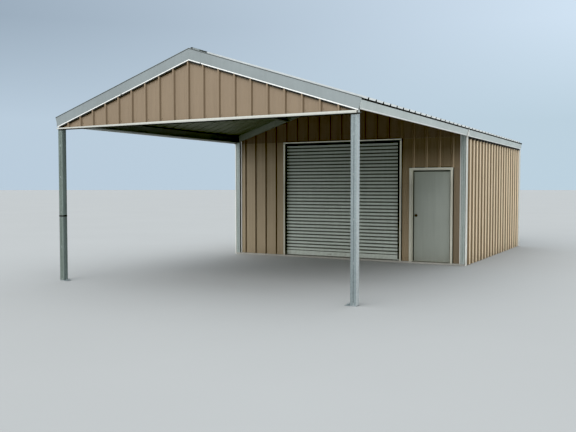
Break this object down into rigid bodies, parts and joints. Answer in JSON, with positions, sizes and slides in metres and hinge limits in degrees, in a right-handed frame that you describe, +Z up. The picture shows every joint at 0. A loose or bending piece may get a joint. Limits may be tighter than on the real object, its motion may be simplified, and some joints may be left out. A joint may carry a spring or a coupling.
{
  "type": "carport with shed",
  "caption": "Steel carport bay on two posts with an enclosed shed behind it under one gable roof, with a roll-up door and a hinged walk door.",
  "frame": {"origin": "middle of the building's footprint, on the ground", "axes": "+X to the right seen from the open front, +Y from the open front to the back, +Z up"},
  "size_m": [6.1968, 12.234, 4.0843],
  "materials": {
    "tan_sheet": "tan painted ribbed steel sheet, satin",
    "roof_sheet": "bare coated ribbed steel sheet, dull",
    "light_trim": "light grey folded steel trim, satin",
    "rollup_sheet": "grey green corrugated steel curtain",
    "door_paint": "grey painted steel door",
    "door_frame_paint": "light grey painted steel frame",
    "door_metal": "satin steel hardware",
    "galvanised": "galvanised steel, spangled and dull",
    "concrete": "rough grey concrete",
    "strap": "black band"
  },
  "bodies": {
    "building": {"corner_trims": "light_trim", "door_hinges_frame_side": "door_metal", "eave_beam_left": "galvanised", "eave_beam_right": "galvanised", "eave_trims_left": "light_trim", "eave_trims_right": "light_trim", "front_gable_panel": "tan_sheet", "front_header": "galvanised", "front_post_bases": "galvanised", "front_post_left": "galvanised", "front_post_right": "galvanised", "front_rafters": "galvanised", "front_rake_left": "light_trim", "front_rake_right": "light_trim", "front_wall_framing": "galvanised", "gable_base_trim": "light_trim", "left_wall": "tan_sheet", "left_wall_framing": "galvanised", "post_strap": "strap", "rear_rakes": "light_trim", "rear_wall": "tan_sheet", "rear_wall_framing": "galvanised", "ridge_cap": "roof_sheet", "right_wall": "tan_sheet", "right_wall_framing": "galvanised", "rollup_coil": "rollup_sheet", "rollup_curtain": "rollup_sheet", "rollup_guides": "galvanised", "rollup_trim": "light_trim", "roof_panel_left": "roof_sheet", "roof_panel_right": "roof_sheet", "roof_purlins": "galvanised", "shed_corner_posts": "galvanised", "shed_floor": "concrete", "shed_front_gable": "tan_sheet", "shed_front_rafters": "galvanised", "shed_front_wall_left": "tan_sheet", "shed_front_wall_middle": "tan_sheet", "shed_front_wall_over_door": "tan_sheet", "shed_front_wall_right": "tan_sheet", "shed_rear_rafters": "galvanised", "walk_door_frame": "door_frame_paint"},
    "walk_door": {"walk_door_leaf": "door_paint", "door_knob_set": "door_metal", "door_hinges_leaf_side": "door_metal"}
  },
  "joints": [
    {"name": "walk_door_hinge", "type": "hinge", "parent": "building", "child": "walk_door", "pos_m": [2.6745, 0.137, 1.1], "axis": [0, 0, -1], "range_deg": [0, 90]}
  ]
}
